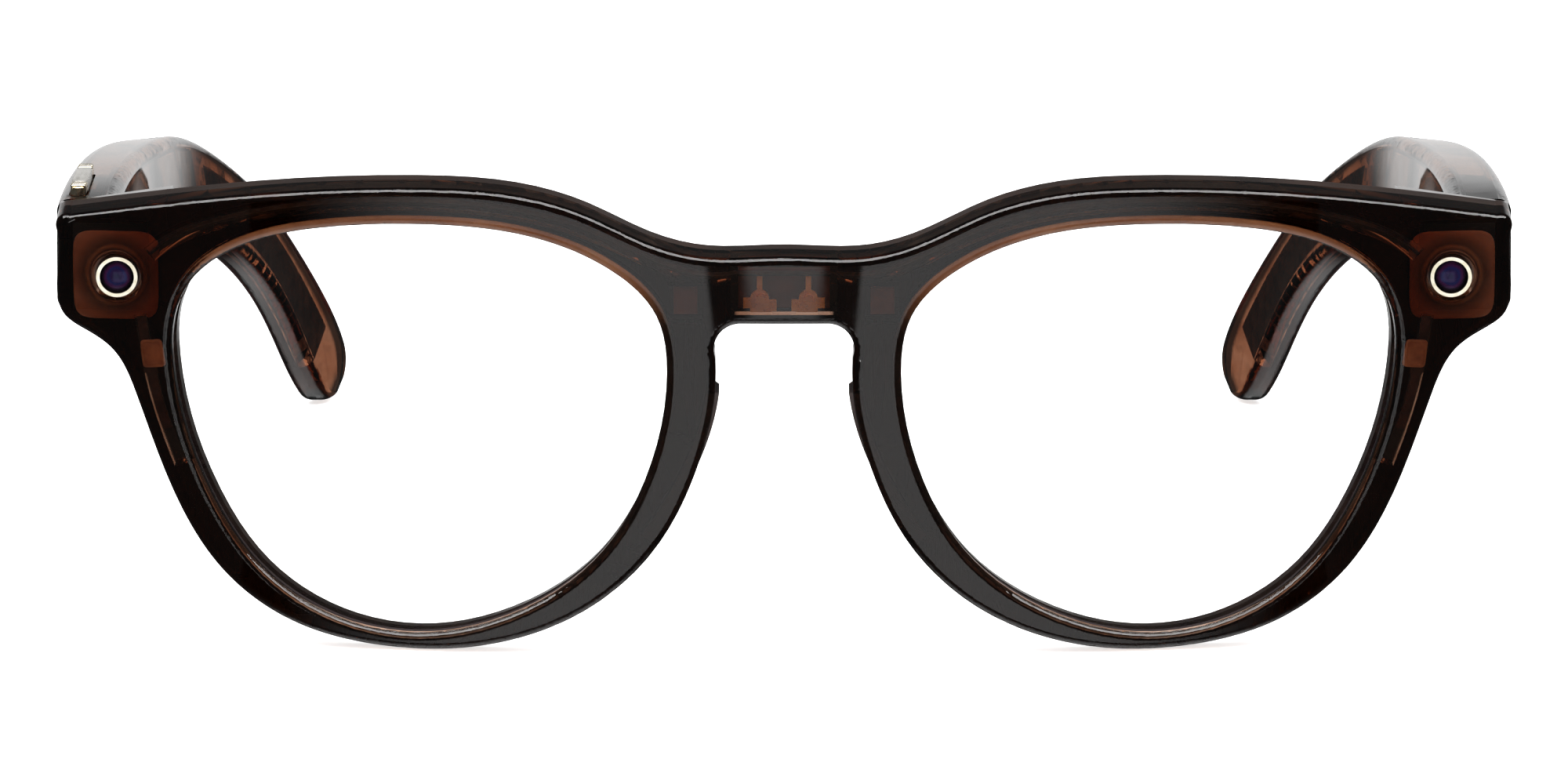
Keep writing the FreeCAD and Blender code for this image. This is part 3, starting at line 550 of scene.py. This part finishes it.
def build_world():
    """White to the camera.  Reflections and light through the plastic see a dark studio with soft bands."""
    world = bpy.data.worlds.new("studio")
    scene.world = world
    world.use_nodes = True
    tree = Nodes(world.node_tree)
    x, y, z = tree.axes("Generated")
    path = tree.add("ShaderNodeLightPath")

    # reflections see a soft band behind the object and a bright ground
    behind = tree.between(y, 0.2, 0.6)
    rise = tree.between(z, -0.50, -0.25)
    fall = tree.between(z, 0.08, 0.25, 1.0, 0.0)
    sideways = tree.between(tree.math("ABSOLUTE", x), 0.14, 0.40, 1.0, 0.0)
    horizon = tree.times(tree.times(rise, fall), tree.times(behind, sideways))
    ground = tree.between(z, -0.75, -0.95)
    glossy = tree.plus(tree.plus(tree.times(horizon, 0.95), tree.times(ground, 1.6)), 0.06)
    through = tree.between(z, 0.1, 0.6, 0.03, 0.14)
    strength = tree.times(glossy, path.outputs["Is Glossy Ray"])
    strength = tree.plus(strength, tree.times(through, path.outputs["Is Transmission Ray"]))

    # light that lands on matt surfaces comes mostly from above
    lit = tree.math("GREATER_THAN", path.outputs["Diffuse Depth"], 0.5)
    strength = tree.times(strength, tree.math("SUBTRACT", 1.0, lit))
    overhead = tree.between(z, -0.4, 0.9, 0.35, 1.5)
    strength = tree.plus(strength, tree.times(overhead, lit))
    strength = tree.math("MAXIMUM", strength, tree.times(path.outputs["Is Camera Ray"], 1.25))
    background = tree.add("ShaderNodeBackground")
    tree.put(strength, background.inputs["Strength"])
    output = tree.add("ShaderNodeOutputWorld")
    tree.put(background.outputs[0], output.inputs[0])


def aim(thing, place, target):
    thing.location = place
    thing.rotation_euler = (Vector(target) - Vector(place)).to_track_quat("-Z", "Y").to_euler()
    scene.collection.objects.link(thing)


def build_key():
    """Wide soft light overhead.  The plastic doesn't show it through itself."""
    data = bpy.data.lights.new("key", "AREA")
    data.shape = "RECTANGLE"
    data.size, data.size_y = KEY_SIZE
    data.energy = KEY_RADIANCE * math.pi * data.size * data.size_y
    key = bpy.data.objects.new("key", data)
    key.visible_camera = False
    key.visible_transmission = False
    aim(key, KEY_PLACE, KEY_TARGET)


def stage_plane(name, corners, finish):
    mesh = bpy.data.meshes.new(name)
    mesh.from_pydata([tuple(c) for c in corners], [], [tuple(range(len(corners)))])
    made = bpy.data.objects.new(name, mesh)
    made.data.materials.append(finish)
    scene.collection.objects.link(made)
    return made


def floor_finish():
    """Pale paper, evenly lit, that still takes a soft shadow."""
    made, tree, shader, _ = material("pale_paper")
    shader.inputs["Base Color"].default_value = (0.85, 0.85, 0.85, 1)
    tree.put(tree.between(tree.noise(40.0), 0.3, 0.7, 0.75, 0.85), shader.inputs["Roughness"])
    shader.inputs["Emission Color"].default_value = (1, 1, 1, 1)
    shader.inputs["Emission Strength"].default_value = 0.62
    return made


def build_floor():
    turns = [i * math.tau / 96 for i in range(96)]
    around = [(FLOOR_RADIUS * math.cos(a), FLOOR_RADIUS * math.sin(a), FLOOR_Z) for a in turns]
    floor = stage_plane("floor", around, floor_finish())
    floor.visible_glossy = False
    floor.visible_transmission = False


def softbox_finish():
    """Even glow that fades at the card's sides, with two dark flags that lean in towards the bottom."""
    made = bpy.data.materials.new("softbox")
    made.use_nodes = True
    tree = Nodes(made.node_tree)
    x, rise, _ = tree.axes("Object")
    x = tree.math("ABSOLUTE", x)
    slanted = tree.plus(x, tree.times(rise, -0.35))
    inner = tree.between(slanted, 0.011, 0.018)
    outer = tree.between(slanted, 0.0335, 0.0365, 1.0, 0.0)
    flag = tree.math("SUBTRACT", 1.0, tree.times(inner, outer, 0.93))
    edge = tree.between(x, 0.15, 0.26, 1.0, 0.0)
    emission = tree.add("ShaderNodeEmission")
    tree.put(tree.times(flag, edge, CARD_STRENGTH), emission.inputs["Strength"])
    output = tree.add("ShaderNodeOutputMaterial")
    tree.put(emission.outputs[0], output.inputs["Surface"])
    return made


def build_softbox():
    """Grey card low in front, which only reflections show."""
    lean = FRONT_LEAN * 2 + math.radians(11.0)
    away = Vector((0, -math.cos(lean), -math.sin(lean)))
    up = Vector((0, -math.sin(lean), math.cos(lean)))
    across = Vector((1, 0, 0))
    wide, high = CARD_HALF_SIZE
    corners = [(-wide, -high, 0), (wide, -high, 0), (wide, high, 0), (-wide, high, 0)]
    card = stage_plane("softbox", corners, softbox_finish())
    turn = Matrix((across, up, across.cross(up))).transposed().to_4x4()
    card.matrix_world = Matrix.Translation(Vector(CARD_TARGET) + away * CARD_DISTANCE) @ turn
    card.visible_camera = False
    card.visible_diffuse = False
    card.visible_transmission = False
    card.visible_shadow = False


def build_camera():
    data = bpy.data.cameras.new("camera")
    data.sensor_width = 36.0
    data.lens = FOCAL_LENGTH
    data.clip_end = 20.0
    camera = bpy.data.objects.new("camera", data)
    aim(camera, CAMERA_PLACE, CAMERA_TARGET)
    scene.camera = camera


build_world()
build_floor()
build_softbox()
build_key()
build_camera()
scene.view_settings.view_transform = "Standard"
